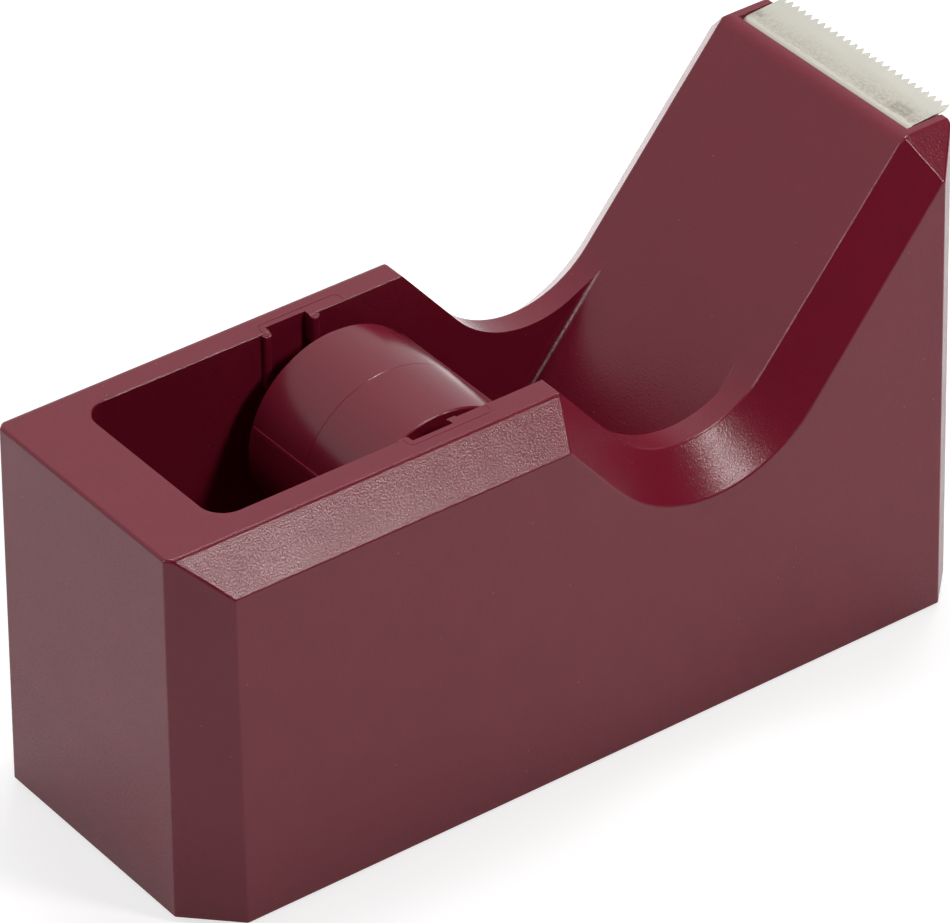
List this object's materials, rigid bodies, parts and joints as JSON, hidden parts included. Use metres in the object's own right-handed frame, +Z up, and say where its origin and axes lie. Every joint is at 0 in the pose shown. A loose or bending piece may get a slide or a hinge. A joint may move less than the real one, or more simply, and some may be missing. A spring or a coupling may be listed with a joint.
{
  "type": "tape dispenser",
  "caption": "Weighted desk tape dispenser: chamfered moulded housing with an open tape bay, a lift-out roll hub on an axle, a finger valley and a toothed cutter blade on the nose.",
  "frame": {"origin": "on the desk, under the middle of the part's box", "axes": "+X towards the cutter blade, +Y to the far side, +Z up"},
  "size_m": [0.115, 0.0454, 0.0664],
  "materials": {
    "housing_plastic": "satin, fine grain",
    "hub_plastic": "gloss",
    "blade_steel": "bright rolled",
    "axle_steel": "turned",
    "cast_weight": "as cast",
    "foam": "foam",
    "plate_steel": "sheared plate",
    "cover_plastic": "matt",
    "screw_steel": "zinc plated",
    "pad_foam": "closed-cell foam"
  },
  "bodies": {
    "base": {"housing": "housing_plastic", "cutter_blade": "blade_steel", "wedge_weight": "cast_weight", "weight_foam": "foam", "floor_weight": "plate_steel", "base_cover": "cover_plastic", "base_screws": "screw_steel", "base_pad": "pad_foam"},
    "axle": {"hub_axle": "axle_steel"},
    "hub": {"hub_near_cup": "hub_plastic", "hub_far_cup": "hub_plastic"}
  },
  "joints": [
    {"name": "hub_lift", "type": "slide", "parent": "base", "child": "axle", "axis": [-0.3023, 0, 0.9532], "range_m": [0, 0.036]},
    {"name": "hub_spin", "type": "hinge", "parent": "axle", "child": "hub", "pos_m": [-0.01405, 0, 0.0373], "axis": [0, 1, 0], "continuous": true}
  ]
}
